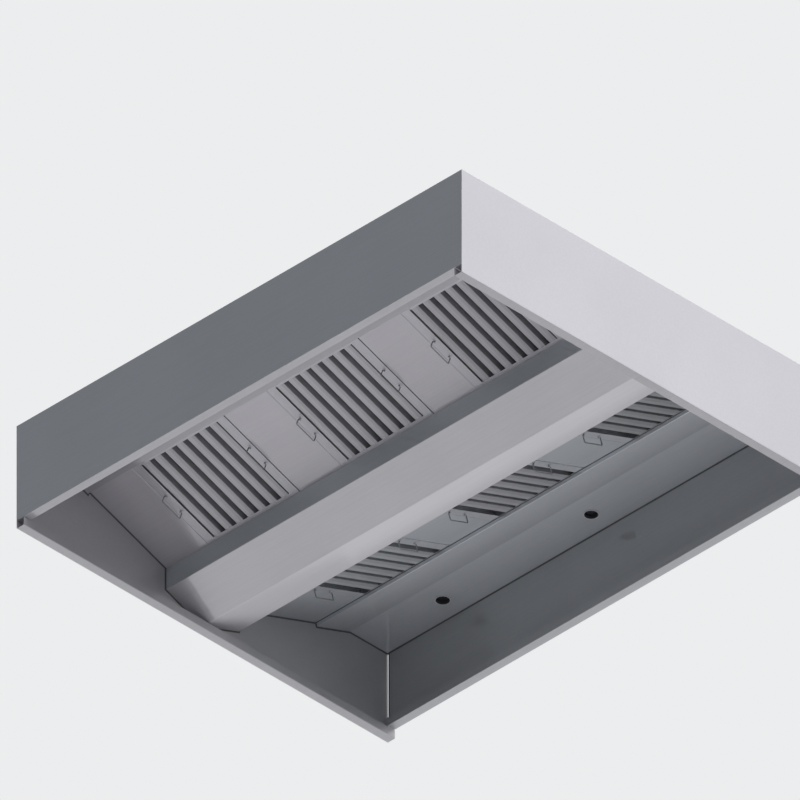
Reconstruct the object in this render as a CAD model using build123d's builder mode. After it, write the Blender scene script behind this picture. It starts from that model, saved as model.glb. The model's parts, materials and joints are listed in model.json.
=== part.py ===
from build123d import *
from math import cos, radians, sin
import os

# Island canopy hood: a stainless box hung from the ceiling and open below, with two banks
# of baffle filters that fall to a grease trough along its middle.
# Millimetres. X runs along the hood, Y across it with the front at -Y, and Z up.
# The origin is the centre of the four hanger holes, on top of the hanger brackets.
# A size called rise is a height above the rim, the lowest edge of the end panels.
# The cutter is the length of a tool that cuts a hole through a sheet.
# On a bank, along is measured up its slope from the trough's upstand, and above is
# measured square to it, away from the room.

os.makedirs("parts", exist_ok=True)

# Body
hood_length = 2400.0
hood_width = 2000.0
hood_height = 480.0
sheet = 1.5
cutter = 12.0
bend = 3.0
bend_room = 2.0
top_flange = 25.0
skirt_step = 40.0
gutter_width = 40.0
gutter_depth = 38.0
corner_slit = 9.0
corner_slit_margin = 4.0
ceiling_rise = 415.0
ceiling_tab = 25.0
ceiling_lip = 17.5

# Trough
bank_slope = 20.0
bank_rise = 215.5
trough_width = 393.0
upstand_foot_rise = 116.0
trough_bottom_rise = 42.0
seat_bend = 1.0
seat_stop = 15.0
weep_length = 30.0
weep_width = 6.0
weep_spacing = 300.0

# Filters
filters_per_bank = 3
filter_bay = 495.0
bay_play = 5.0
bay_shift = -1.5
filter_length = 495.0
filter_depth = 48.0
filter_border = 40.0
filter_end_border = 28.0
filter_sheet = 1.0
filter_edge = 1.0
filter_drop = 28.5
filter_overlap = 24.5
lift_margin = 3.5
seat_gap = 0.3
stop_gap = 0.6
baffle_sheet = 0.8
baffle_bend = 1.6
wide_row_face = 36.0
narrow_row_face = 44.0
baffle_flange = 26.0
baffle_pitch = 60.0
baffle_gap = 0.1
wide_row_baffles = 7
filter_weep_radius = 3.0
filter_weep_spacing = 90.0
filter_weeps = 4

# Bails
bail_wire = 5.0
bail_span = 100.0
bail_reach = 33.0
bail_bend = 5.0
bail_inset = 18.0
bail_tail = 11.0
bail_axis_height = 5.0
lug_thickness = 3.0
lug_radius = 4.2
lug_setback = 7.5
pivot_gap = 0.1

# Filter rails and filler trays
rail_room = 5.0
rail_gap = 1.0
rail_foot = 25.0
rail_catch = 50.0
filler_side = 20.0

# Roof fixings
hanger_rise = 35.0
hanger_spacing_x = 2100.0
hanger_spacing_y = 1700.0
hanger_plate = 3.0
hanger_bend = 4.0
hanger_crown = 60.0
hanger_foot = 35.0
hanger_width = 60.0
hanger_hole = 11.0
hanger_bolt_spread = 30.0
stiffener_depth = 30.0
stiffener_crown = 60.0
stiffener_flange = 30.0
stiffener_end_gap = 35.0
bolt_size = 8.0
bolt_head = 5.3
bolt_head_width = 13.0
bolt_tail = 3.0
nut_height = 6.5
hole_play = 1.0
thread_gap = 0.05
rivet_size = 4.0
rivet_head_radius = 4.0
rivet_head_height = 1.2
rivet_tail_radius = 2.8
rivet_tail_height = 2.0
rivet_pitch = 200.0
rivet_gap = 0.1

# Exhaust collar and damper
collar_length = 700.0
collar_width = 280.0
collar_height = 205.0
collar_sheet = 1.5
collar_foot = 30.0
collar_lip = 35.0
gasket_thickness = 3.0
collar_bolt_size = 6.0
collar_bolt_head = 4.0
collar_bolt_head_width = 10.0
collar_bolt_tail = 3.0
collar_nut_height = 5.0
collar_bolts_long = 6
collar_bolts_short = 3
duct_spacing_x = 735.0
duct_spacing_y = 315.0
duct_hole = 9.0
shaft_rise = 65.0
shaft_size = 12.0
shaft_tail = 8.0
shaft_gap = 0.05
blade_sheet = 1.5
blade_gap = 3.5
blade_end_gap = 4.0
blade_wrap_gap = 0.1
bush_wall = 3.0
bush_flange = 4.0
bush_flange_thickness = 3.0
bush_seat_gap = 0.05
quadrant_radius = 75.0
quadrant_thickness = 2.0
quadrant_standoff = 12.0
quadrant_hub = 14.0
quadrant_leg_size = 10.0
quadrant_leg_radius = 36.0
quadrant_leg_angles = (20.0, 70.0)
damper_turn = 90.0
slot_radius = 60.0
slot_width = 7.0
lever_pin = 6.0
lever_gap = 0.6
lever_thickness = 3.0
lever_length = 92.0
lever_width = 14.0
lever_hub = 12.0
lever_knob = 10.0
lever_knob_height = 12.0

# Downlights
light_spacing = 800.0
lights_per_side = 3
light_setback = 102.0
light_hole = 60.0
bezel_play = 0.2
bezel_rim = 66.0
bezel_rim_thickness = 1.0
bezel_bore = 54.5
bezel_height = 12.0
lens_size = 59.0
lens_thickness = 3.0
can_size = 62.4
can_wall = 1.2
can_height = 45.0
can_foot = 84.0
led_board = 50.0
led_board_thickness = 6.0

# Wiring
conduit_size = 16.0
conduit_wall = 1.0
conduit_rise = 434.0
crossing_rise = 450.0
riser_end = 3.0
conduit_gap = 0.1
junction_y = -600.0
junction_length = 160.0
junction_width = 120.0
junction_height = 55.0
junction_floor = 1.5
junction_lid_lip = 10.0
junction_lid_gap = 0.3
gland_bore = 12.0
gland_thread = 20.0
gland_flat = 24.0
gland_flange_thickness = 5.0
gland_cap_length = 14.0
gland_cap_taper = 8.0
gland_inside = 14.0
gland_nut_thickness = 4.0
gland_gap = 0.1
gland_rise = 30.0

# Grease drain
drain_rise = 56.0
drain_pipe_size = 21.0
drain_bore = 16.0
drain_bend = 15.0
drain_setoff = 25.0
drain_pipe_run = 34.0
drain_gap = 0.1
valve_size = 32.0
valve_length = 60.0
valve_socket_depth = 10.0
valve_outlet_depth = 12.0
valve_outlet_size = 21.2
valve_flat = 30.0
valve_flat_length = 12.0
ball_size = 24.0
ball_gap = 0.1
stem_size = 8.0
stem_gap = 0.05
bonnet_size = 16.0
bonnet_rise = 24.0
valve_lever_gap = 1.0
valve_lever_thickness = 3.0
valve_lever_width = 14.0
valve_lever_length = 44.0
valve_nut_height = 5.0
valve_nut_width = 13.0

# Places that follow from the sizes
rim_z = -(hanger_rise + hood_height)
roof_top_z = -hanger_rise - sheet
inner_x = hood_length / 2 - sheet
inner_y = hood_width / 2 - sheet
slope = radians(bank_slope)
filter_width = filter_bay - bay_play
filter_lift = filter_drop + lift_margin
throat = filter_length - filter_drop - filter_overlap
bay_gap = (hood_length - filters_per_bank * filter_bay) / (filters_per_bank + 1)
bay_pitch = filter_bay + bay_gap
filter_centres = [(i - (filters_per_bank - 1) / 2) * bay_pitch for i in range(filters_per_bank)]
filter_middle = filter_length / 2 - filter_drop
ceiling_break = (ceiling_rise - bank_rise + ceiling_lip * cos(slope)) / sin(slope)
sides = {"front": -1, "rear": 1}


def bank_point(along, above):
    """Place of a point of a bank, as its distance from the middle and its rise."""
    out = trough_width / 2 + along * cos(slope) - above * sin(slope)
    rise = bank_rise + along * sin(slope) + above * cos(slope)
    return (out, rise)


def half_section(side):
    """Upright plane across the hood: out towards one side, and up from the rim."""
    return Plane(origin=(0, 0, rim_z), x_dir=(0, side, 0), z_dir=(side, 0, 0))


def end_section(end):
    """Upright plane along the hood: out towards one end, and up from the rim."""
    return Plane(origin=(0, 0, rim_z), x_dir=(end, 0, 0), z_dir=(0, -end, 0))


def bank_plane(side, x, along, above=0.0):
    """Plane on a bank: its y runs up the slope, and its z points into the room."""
    out, rise = bank_point(along, above)
    return Plane(
        origin=(x, side * out, rim_z + rise),
        x_dir=(-side, 0, 0),
        z_dir=(0, side * sin(slope), -cos(slope)),
    )


def shifted(plane, x, y):
    """The same plane with its origin moved within it."""
    return Plane(origin=plane.from_local_coords((x, y, 0)), x_dir=plane.x_dir, z_dir=plane.z_dir)


def folded_sheet(points, thickness=sheet, bends=bend):
    """Edges of a folded sheet's section: the points, and the same line one sheet to the right."""
    line = [Vector(*point) for point in points]
    runs = [(after - before).normalized() for before, after in zip(line, line[1:])]
    radii = bends if isinstance(bends, list) else [bends] * (len(line) - 2)
    to_right = [Vector(run.Y, -run.X) * thickness for run in runs]
    back = [line[0] + to_right[0]]
    back_radii = []
    for corner, run, after, right, radius in zip(line[1:], runs, runs[1:], to_right, radii):
        turn = run.X * after.Y - run.Y * after.X
        mitre = thickness * (1 - run.dot(after)) / turn
        back.append(corner + right + run * mitre)
        back_radii.append(radius + thickness if turn > 0 else radius - thickness)
    back.append(line[-1] + to_right[-1])
    with BuildLine(Plane.XY) as outline:
        FilletPolyline(*line, radius=radii)
        FilletPolyline(*back, radius=back_radii)
        Line(line[0], back[0])
        Line(line[-1], back[-1])
    return outline.edges()


def spread(count, pitch):
    """Places of a centred row."""
    return [(i - (count - 1) / 2) * pitch for i in range(count)]


def save(piece, name):
    piece.part.label = name
    export_step(piece.part, f"parts/{name}.step")


# Rivet places along the top flanges, and bolt places on the roof
rivet_row = hood_width / 2 - top_flange / 2
rivet_column = hood_length / 2 - top_flange / 2
side_rivets_x = spread(int((hood_length - 2 * rivet_pitch) // rivet_pitch) + 1, rivet_pitch)
end_rivets_y = spread(int((hood_width - 2 * rivet_pitch) // rivet_pitch) + 1, rivet_pitch)
side_rivets = [(x, side * rivet_row) for side in (-1, 1) for x in side_rivets_x]
end_rivets = [(end * rivet_column, y) for end in (-1, 1) for y in end_rivets_y]
hangers = [
    (x, y)
    for x in (-hanger_spacing_x / 2, hanger_spacing_x / 2)
    for y in (-hanger_spacing_y / 2, hanger_spacing_y / 2)
]
foot_centre = hanger_crown / 2 + hanger_foot / 2
hanger_bolts_at = [
    (x + dx, y + dy)
    for x, y in hangers
    for dx in (-foot_centre, foot_centre)
    for dy in (-hanger_bolt_spread / 2, hanger_bolt_spread / 2)
]
stiffener_inner_x = collar_length / 2 + collar_foot + stiffener_crown / 2 + stiffener_flange
stiffener_x = [-hanger_spacing_x / 2, -stiffener_inner_x, stiffener_inner_x, hanger_spacing_x / 2]
collar_bolt_y = collar_width / 2 + collar_foot / 2
collar_bolt_x = collar_length / 2 + collar_foot / 2
collar_bolts_at = [
    (x, side * collar_bolt_y)
    for side in (-1, 1)
    for x in spread(collar_bolts_long, (collar_length - collar_foot) / (collar_bolts_long - 1))
]
collar_bolts_at += [
    (end * collar_bolt_x, y)
    for end in (-1, 1)
    for y in spread(collar_bolts_short, (collar_width - collar_foot) / (collar_bolts_short - 1))
]
junction_x = -light_spacing
light_y = hood_width / 2 - light_setback
lights = [(x, side * light_y) for side in (-1, 1) for x in spread(lights_per_side, light_spacing)]


def long_skirt(side, rivets, slit):
    """Front or rear skirt: top flange, wall, and a gutter folded in along its foot."""
    half = hood_width / 2
    section = folded_sheet([
        (half - top_flange, hood_height),
        (half, hood_height),
        (half, skirt_step),
        (half - gutter_width, skirt_step),
        (half - gutter_width, skirt_step + gutter_depth),
    ])
    with BuildPart() as skirt:
        with BuildSketch(half_section(side)):
            make_face(section)
        extrude(amount=inner_x, both=True)
        with Locations(*[(x, y, rim_z + hood_height) for x, y in rivets]):
            Cylinder(rivet_size / 2 + rivet_gap, cutter, mode=Mode.SUBTRACT)
        if slit:
            low = skirt_step + gutter_depth + corner_slit_margin
            high = ceiling_rise - corner_slit_margin
            with Locations((-inner_x, side * half, rim_z + (low + high) / 2)):
                Box(2 * corner_slit, cutter, high - low, mode=Mode.SUBTRACT)
    return skirt


front_skirt_panel = long_skirt(-1, [spot for spot in side_rivets if spot[1] < 0], False)
save(front_skirt_panel, "front_skirt_panel")
# The rear skirt leaves a narrow slit at the left corner, below the ceiling.
rear_skirt_panel = long_skirt(1, [spot for spot in side_rivets if spot[1] > 0], True)
save(rear_skirt_panel, "rear_skirt_panel")


def end_panel(end, rivets, drain_hole):
    """End panel: it runs the full width, reaches down past the skirts, and has a gutter."""
    half = hood_length / 2
    section = folded_sheet([
        (half - top_flange, hood_height),
        (half, hood_height),
        (half, 0),
        (half - gutter_width, 0),
        (half - gutter_width, gutter_depth),
    ])
    notch_centre = half - sheet - top_flange / 2
    with BuildPart() as panel:
        with BuildSketch(end_section(end)):
            make_face(section)
        extrude(amount=hood_width / 2, both=True)
        # The top flange stops short of the skirts' flanges at both corners.
        with Locations(*[
            (end * notch_centre, side * (hood_width - top_flange) / 2, rim_z + hood_height)
            for side in (-1, 1)
        ]):
            Box(top_flange, top_flange + bend_room, cutter, mode=Mode.SUBTRACT)
        with Locations(*[(x, y, rim_z + hood_height) for x, y in rivets]):
            Cylinder(rivet_size / 2 + rivet_gap, cutter, mode=Mode.SUBTRACT)
        if drain_hole:
            with Locations(Plane(origin=(end * half, 0, rim_z + drain_rise), z_dir=(1, 0, 0))):
                Cylinder(drain_pipe_size / 2 + drain_gap, cutter, mode=Mode.SUBTRACT)
    return panel


left_end_panel = end_panel(-1, [spot for spot in end_rivets if spot[0] < 0], True)
save(left_end_panel, "left_end_panel")
right_end_panel = end_panel(1, [spot for spot in end_rivets if spot[0] > 0], False)
save(right_end_panel, "right_end_panel")

with BuildPart() as roof_panel:
    with BuildSketch(Plane.XY.offset(roof_top_z)):
        Rectangle(2 * (inner_x - bend_room), 2 * (inner_y - bend_room))
        Rectangle(collar_length, collar_width, mode=Mode.SUBTRACT)
        with Locations(*side_rivets, *end_rivets):
            Circle(rivet_size / 2 + rivet_gap, mode=Mode.SUBTRACT)
        with Locations(*hanger_bolts_at):
            Circle((bolt_size + hole_play) / 2, mode=Mode.SUBTRACT)
        with Locations(*collar_bolts_at):
            Circle((collar_bolt_size + hole_play) / 2, mode=Mode.SUBTRACT)
        with Locations((junction_x, junction_y)):
            Circle(conduit_size / 2 + conduit_gap, mode=Mode.SUBTRACT)
    extrude(amount=-sheet)
save(roof_panel, "roof_panel")


def ceiling_panel(side):
    """Flat ceiling beside a bank, with its tab on the skirt, its slope and its lip."""
    section = folded_sheet([
        (inner_y, ceiling_rise + ceiling_tab),
        (inner_y, ceiling_rise),
        bank_point(ceiling_break, -ceiling_lip),
        bank_point(throat, -ceiling_lip),
        bank_point(throat, 0),
    ])
    with BuildPart() as panel:
        with BuildSketch(half_section(side)):
            make_face(section)
        extrude(amount=inner_x, both=True)
        with Locations(*[
            (x, y, rim_z + ceiling_rise) for x, y in lights if y * side > 0
        ]):
            Cylinder(light_hole / 2, cutter, mode=Mode.SUBTRACT)
    return panel


for name, side in sides.items():
    save(ceiling_panel(side), f"{name}_ceiling_panel")


def grease_trough_sheet():
    """V-bottomed trough between the banks, with a seat and a stop for the filters at each top edge."""
    half = [
        bank_point(-filter_drop - stop_gap, seat_stop),
        bank_point(-filter_drop - stop_gap, 0),
        bank_point(0, 0),
        (trough_width / 2, upstand_foot_rise),
    ]
    mirrored = [(-out, rise) for out, rise in reversed(half)]
    bends = [seat_bend, bend, bend, bend, bend, bend, seat_bend]
    section = folded_sheet([*half, (0, trough_bottom_rise), *mirrored], bends=bends)
    with BuildPart() as trough:
        with BuildSketch(half_section(1)):
            make_face(section)
        extrude(amount=inner_x, both=True)
        # Slots in the seats let the filters' grease fall into the trough.
        for side in (-1, 1):
            for x in filter_centres:
                for shift in (-weep_spacing / 2, weep_spacing / 2):
                    with Locations(bank_plane(side, x + shift, -filter_drop / 2)):
                        Box(weep_length, weep_width, cutter, mode=Mode.SUBTRACT)
    return trough


grease_trough = grease_trough_sheet()
save(grease_trough, "grease_trough")


def filter_rail(side):
    """Z-shaped rail that keeps a bank's top edges down, with room to lift a filter."""
    web = throat + filter_overlap + filter_lift + rail_room
    top = filter_depth + seat_gap + rail_gap + sheet
    foot = sheet - ceiling_lip
    section = folded_sheet([
        bank_point(web + rail_foot, foot + sheet),
        bank_point(web, foot + sheet),
        bank_point(web, top),
        bank_point(web - rail_catch, top),
    ][::-1])
    with BuildPart() as rail:
        with BuildSketch(half_section(side)):
            make_face(section)
        extrude(amount=inner_x, both=True)
    return rail


for name, side in sides.items():
    save(filter_rail(side), f"{name}_filter_rail")


def filler_plates(side):
    """Blank trays between the filters and beside the ends, in the same plane as the filters."""
    spans = [(-inner_x, filter_centres[0] - filter_bay / 2)]
    for before, after in zip(filter_centres, filter_centres[1:]):
        spans.append((before + filter_bay / 2, after - filter_bay / 2))
    spans.append((filter_centres[-1] + filter_bay / 2, inner_x))
    with BuildPart() as plates:
        for low, high in spans:
            half = (high - low) / 2
            section = folded_sheet([
                (-half, -filler_side),
                (-half, 0),
                (half, 0),
                (half, -filler_side),
            ])
            lower_end = bank_plane(side, (low + high) / 2, seat_bend - filter_drop)
            across = Plane(
                origin=lower_end.origin,
                x_dir=lower_end.x_dir,
                z_dir=lower_end.y_dir * -1,
            )
            with BuildSketch(across):
                make_face(section)
            extrude(amount=seat_bend - filter_length)
    return plates


for name, side in sides.items():
    save(filler_plates(side), f"{name}_filler_plates")

hat = folded_sheet([
    (-stiffener_crown / 2 - stiffener_flange, 0),
    (-stiffener_crown / 2, 0),
    (-stiffener_crown / 2, -stiffener_depth),
    (stiffener_crown / 2, -stiffener_depth),
    (stiffener_crown / 2, 0),
    (stiffener_crown / 2 + stiffener_flange, 0),
])
with BuildPart() as roof_stiffeners:
    hat_planes = [
        Plane(origin=(x, 0, roof_top_z - sheet), x_dir=(1, 0, 0), z_dir=(0, -1, 0))
        for x in stiffener_x
    ]
    with BuildSketch(*hat_planes):
        make_face(hat)
    extrude(amount=inner_y - stiffener_end_gap, both=True)
    with Locations(*[(x, y, roof_top_z) for x, y in hanger_bolts_at]):
        Cylinder((bolt_size + hole_play) / 2, cutter, mode=Mode.SUBTRACT)
save(roof_stiffeners, "roof_stiffeners")

omega = folded_sheet(
    [
        (-hanger_crown / 2 - hanger_foot, hanger_plate),
        (-hanger_crown / 2, hanger_plate),
        (-hanger_crown / 2, hanger_rise + sheet),
        (hanger_crown / 2, hanger_rise + sheet),
        (hanger_crown / 2, hanger_plate),
        (hanger_crown / 2 + hanger_foot, hanger_plate),
    ],
    hanger_plate,
    hanger_bend,
)
with BuildPart() as hanger_brackets:
    with BuildSketch(*[
        Plane(origin=(x, y, roof_top_z), x_dir=(1, 0, 0), z_dir=(0, -1, 0)) for x, y in hangers
    ]):
        make_face(omega)
    extrude(amount=hanger_width / 2, both=True)
    with Locations(*[(x, y, 0) for x, y in hangers]):
        Cylinder(hanger_hole / 2, cutter, mode=Mode.SUBTRACT)
    with Locations(*[(x, y, roof_top_z) for x, y in hanger_bolts_at]):
        Cylinder((bolt_size + hole_play) / 2, cutter, mode=Mode.SUBTRACT)
save(hanger_brackets, "hanger_brackets")


def bolt_set(spots, size, seat_z, nut_z, head, head_width, tail, nut):
    """Hexagon screws with their heads on seat_z and their nuts hanging below nut_z."""
    with BuildPart() as bolts:
        with BuildSketch(Plane.XY.offset(seat_z)):
            with Locations(*spots):
                RegularPolygon(head_width / 2, 6, major_radius=False)
        extrude(amount=head)
        with BuildSketch(Plane.XY.offset(nut_z - nut - tail)):
            with Locations(*spots):
                Circle(size / 2)
        extrude(amount=seat_z - nut_z + nut + tail)
        with BuildSketch(Plane.XY.offset(nut_z - nut)):
            with Locations(*spots):
                RegularPolygon(head_width / 2, 6, major_radius=False)
                Circle(size / 2 + thread_gap, mode=Mode.SUBTRACT)
        extrude(amount=nut)
    return bolts


hanger_bolts = bolt_set(
    hanger_bolts_at,
    bolt_size,
    roof_top_z + hanger_plate,
    roof_top_z - 2 * sheet,
    bolt_head,
    bolt_head_width,
    bolt_tail,
    nut_height,
)
save(hanger_bolts, "hanger_bolts")

with BuildPart() as roof_rivets:
    with Locations(*[(x, y, -hanger_rise) for x, y in side_rivets + end_rivets]):
        Cylinder(rivet_head_radius, rivet_head_height, align=(Align.CENTER, Align.CENTER, Align.MIN))
        Cylinder(rivet_size / 2, 2 * sheet, align=(Align.CENTER, Align.CENTER, Align.MAX))
    with Locations(*[(x, y, roof_top_z - sheet) for x, y in side_rivets + end_rivets]):
        Cylinder(rivet_tail_radius, rivet_tail_height, align=(Align.CENTER, Align.CENTER, Align.MAX))
save(roof_rivets, "roof_rivets")

# Exhaust collar: a rectangular spigot with a foot on the gasket and a lip for the duct
collar_z = roof_top_z + gasket_thickness
collar_top_z = collar_z + collar_height
shaft_z = roof_top_z + shaft_rise
collar_wall_x = collar_length / 2 + collar_sheet
bush_outer = shaft_size / 2 + shaft_gap + bush_wall
duct_holes_at = [
    (end * duct_spacing_x / 2, side * duct_spacing_y / 2) for end in (-1, 1) for side in (-1, 1)
]


def collar_ring(z, border, height, holes, hole_size):
    """Level ring round the duct's bore, with its holes."""
    with BuildPart() as ring:
        with BuildSketch(Plane.XY.offset(z)):
            Rectangle(collar_length + 2 * border, collar_width + 2 * border)
            Rectangle(collar_length, collar_width, mode=Mode.SUBTRACT)
            if holes:
                with Locations(*holes):
                    Circle(hole_size / 2, mode=Mode.SUBTRACT)
        extrude(amount=height)
    return ring


collar_gasket = collar_ring(
    roof_top_z, collar_foot, gasket_thickness, collar_bolts_at, collar_bolt_size + hole_play
)
save(collar_gasket, "collar_gasket")

collar_foot_ring = collar_ring(
    collar_z, collar_foot, collar_sheet, collar_bolts_at, collar_bolt_size + hole_play
)
collar_wall_ring = collar_ring(collar_z, collar_sheet, collar_height, [], 0)
collar_lip_ring = collar_ring(
    collar_top_z - collar_sheet, collar_lip, collar_sheet, duct_holes_at, duct_hole
)
with BuildPart() as exhaust_collar:
    add(collar_foot_ring.part)
    add(collar_wall_ring.part)
    add(collar_lip_ring.part)
    for end in (-1, 1):
        with Locations(Plane(origin=(end * collar_length / 2, 0, shaft_z), z_dir=(1, 0, 0))):
            Cylinder(bush_outer + bush_seat_gap, cutter, mode=Mode.SUBTRACT)
save(exhaust_collar, "exhaust_collar")

collar_bolts = bolt_set(
    collar_bolts_at,
    collar_bolt_size,
    collar_z + collar_sheet,
    roof_top_z - sheet,
    collar_bolt_head,
    collar_bolt_head_width,
    collar_bolt_tail,
    collar_nut_height,
)
save(collar_bolts, "collar_bolts")

with BuildPart() as damper_bushes:
    for end in (-1, 1):
        wall = Plane(origin=(end * collar_length / 2, 0, shaft_z), z_dir=(end, 0, 0))
        with BuildSketch(wall):
            Circle(bush_outer)
            Circle(shaft_size / 2 + shaft_gap, mode=Mode.SUBTRACT)
        extrude(amount=collar_sheet)
        with BuildSketch(wall.offset(collar_sheet)):
            Circle(bush_outer + bush_flange)
            Circle(shaft_size / 2 + shaft_gap, mode=Mode.SUBTRACT)
        extrude(amount=bush_flange_thickness)
save(damper_bushes, "damper_bushes")

# Damper lever side, seen from the right end: quadrant plate, then the lever outside it
quadrant_x = collar_wall_x + quadrant_standoff
quadrant_plane = Plane(origin=(quadrant_x, 0, shaft_z), x_dir=(0, 1, 0), z_dir=(1, 0, 0))
legs = [
    (-quadrant_leg_radius * sin(radians(angle)), quadrant_leg_radius * cos(radians(angle)))
    for angle in quadrant_leg_angles
]
slot_line = CenterArc((0, 0), slot_radius, damper_turn, damper_turn)
with BuildPart() as damper_quadrant:
    with BuildSketch(quadrant_plane):
        Circle(quadrant_radius)
        with Locations((quadrant_radius / 2 + lever_width / 2, 0)):
            Rectangle(quadrant_radius, 2 * quadrant_radius, mode=Mode.SUBTRACT)
        with Locations((0, -quadrant_radius / 2 - lever_width / 2)):
            Rectangle(2 * quadrant_radius, quadrant_radius, mode=Mode.SUBTRACT)
        Circle(quadrant_hub)
        Circle(shaft_size / 2 + hole_play, mode=Mode.SUBTRACT)
        SlotArc(slot_line, slot_width, mode=Mode.SUBTRACT)
    extrude(amount=quadrant_thickness)
    with BuildSketch(quadrant_plane):
        with Locations(*legs):
            Circle(quadrant_leg_size / 2)
    extrude(amount=-quadrant_standoff)
save(damper_quadrant, "damper_quadrant")

lever_x = quadrant_x + quadrant_thickness + lever_gap
with BuildPart() as damper_shaft:
    with BuildSketch(Plane(origin=(-collar_wall_x - shaft_tail, 0, shaft_z), z_dir=(1, 0, 0))):
        Circle(shaft_size / 2)
    extrude(amount=collar_wall_x + shaft_tail + lever_x + lever_thickness + lever_gap)
save(damper_shaft, "damper_shaft")

# The blade stands upright at rest, with a half round pressed in its middle for the shaft.
wrap = shaft_size / 2 + blade_wrap_gap
blade_span = collar_width - 2 * blade_gap
with BuildPart() as damper_blade:
    blade_end = Plane(
        origin=(-collar_length / 2 + blade_end_gap, 0, shaft_z), x_dir=(0, 1, 0), z_dir=(1, 0, 0)
    )
    with BuildSketch(blade_end):
        with Locations((blade_sheet / 2, 0)):
            Rectangle(blade_sheet, blade_span)
        Circle(wrap + blade_sheet)
        with Locations((-wrap, 0)):
            Rectangle(2 * wrap, 4 * wrap, mode=Mode.SUBTRACT)
        Circle(wrap, mode=Mode.SUBTRACT)
    extrude(amount=collar_length - 2 * blade_end_gap)
save(damper_blade, "damper_blade")

lever_plane = Plane(origin=(lever_x, 0, shaft_z), x_dir=(0, 1, 0), z_dir=(1, 0, 0))
with BuildPart() as damper_lever:
    with BuildSketch(lever_plane):
        Circle(lever_hub)
        with Locations((0, lever_length / 2)):
            RectangleRounded(lever_width, lever_length, lever_width / 2 - lever_gap)
        Circle(shaft_size / 2 + shaft_gap, mode=Mode.SUBTRACT)
    extrude(amount=lever_thickness)
    with BuildSketch(lever_plane.offset(lever_thickness)):
        with Locations((0, slot_radius)):
            Circle(lever_knob)
    extrude(amount=lever_knob_height)
    with BuildSketch(lever_plane):
        with Locations((0, slot_radius)):
            Circle(lever_pin / 2)
    extrude(amount=-(lever_gap + quadrant_thickness + lever_gap))
save(damper_lever, "damper_lever")


def rounds(spots, z, radius, height, bore=0.0):
    """Round plates or rings, one at each place, standing on a level."""
    with BuildPart() as discs:
        with BuildSketch(Plane.XY.offset(z)):
            with Locations(*spots):
                Circle(radius)
                if bore:
                    Circle(bore, mode=Mode.SUBTRACT)
        extrude(amount=height)
    return discs


ceiling_z = rim_z + ceiling_rise
lens_z = ceiling_z + bezel_height
can_z = ceiling_z + sheet
bezel_rims = rounds(
    lights, ceiling_z - bezel_rim_thickness, bezel_rim / 2, bezel_rim_thickness, bezel_bore / 2
)
bezel_tubes = rounds(lights, ceiling_z, light_hole / 2 - bezel_play, bezel_height, bezel_bore / 2)
with BuildPart() as downlight_bezels:
    add(bezel_rims.part)
    add(bezel_tubes.part)
save(downlight_bezels, "downlight_bezels")

downlight_lenses = rounds(lights, lens_z, lens_size / 2, lens_thickness)
save(downlight_lenses, "downlight_lenses")

can_feet = rounds(lights, can_z, can_foot / 2, can_wall, can_size / 2 - can_wall)
can_walls = rounds(lights, can_z, can_size / 2, can_height, can_size / 2 - can_wall)
can_lids = rounds(lights, can_z + can_height - can_wall, can_size / 2, can_wall)
conduit_z = rim_z + conduit_rise
crossing_z = rim_z + crossing_rise
conduit_radius = conduit_size / 2
light_row = spread(lights_per_side, light_spacing)
with BuildPart() as downlight_cans:
    add(can_feet.part)
    add(can_walls.part)
    add(can_lids.part)
    # Round entries for the conduits, on the sides that face a neighbour
    for x, y in lights:
        for step in (-1, 1):
            if light_row[0] < x + step < light_row[-1]:
                with Locations(Plane(origin=(x + step * can_size / 2, y, conduit_z), z_dir=(1, 0, 0))):
                    Cylinder(conduit_radius + conduit_gap, cutter, mode=Mode.SUBTRACT)
    for side in (-1, 1):
        entry = Plane(
            origin=(junction_x, side * (light_y - can_size / 2), crossing_z), z_dir=(0, 1, 0)
        )
        with Locations(entry):
            Cylinder(conduit_radius + conduit_gap, cutter, mode=Mode.SUBTRACT)
save(downlight_cans, "downlight_cans")

led_z = can_z + can_height - can_wall - led_board_thickness
downlight_leds = rounds(lights, led_z, led_board / 2, led_board_thickness)
save(downlight_leds, "downlight_leds")

# Conduits: one run along each row of cans, and one across, with a riser to the junction box
conduit_inset = can_size / 2 - can_wall
junction_floor_z = roof_top_z + junction_floor
riser_top_z = junction_floor_z + riser_end
with BuildPart() as lighting_conduit:
    for side in (-1, 1):
        for low, high in zip(light_row, light_row[1:]):
            start = Plane(origin=(low + conduit_inset, side * light_y, conduit_z), z_dir=(1, 0, 0))
            with BuildSketch(start):
                Circle(conduit_radius)
                Circle(conduit_radius - conduit_wall, mode=Mode.SUBTRACT)
            extrude(amount=high - low - 2 * conduit_inset)
    crossing = Plane(origin=(junction_x, -light_y + conduit_inset, crossing_z), z_dir=(0, 1, 0))
    crossing_length = 2 * (light_y - conduit_inset)
    riser = Plane(origin=(junction_x, junction_y, crossing_z))
    with BuildSketch(crossing):
        Circle(conduit_radius)
    extrude(amount=crossing_length)
    with BuildSketch(riser):
        Circle(conduit_radius)
    extrude(amount=riser_top_z - crossing_z)
    with BuildSketch(crossing):
        Circle(conduit_radius - conduit_wall)
    extrude(amount=crossing_length, mode=Mode.SUBTRACT)
    with BuildSketch(riser):
        Circle(conduit_radius - conduit_wall)
    extrude(amount=riser_top_z - crossing_z, mode=Mode.SUBTRACT)
save(lighting_conduit, "lighting_conduit")

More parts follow.
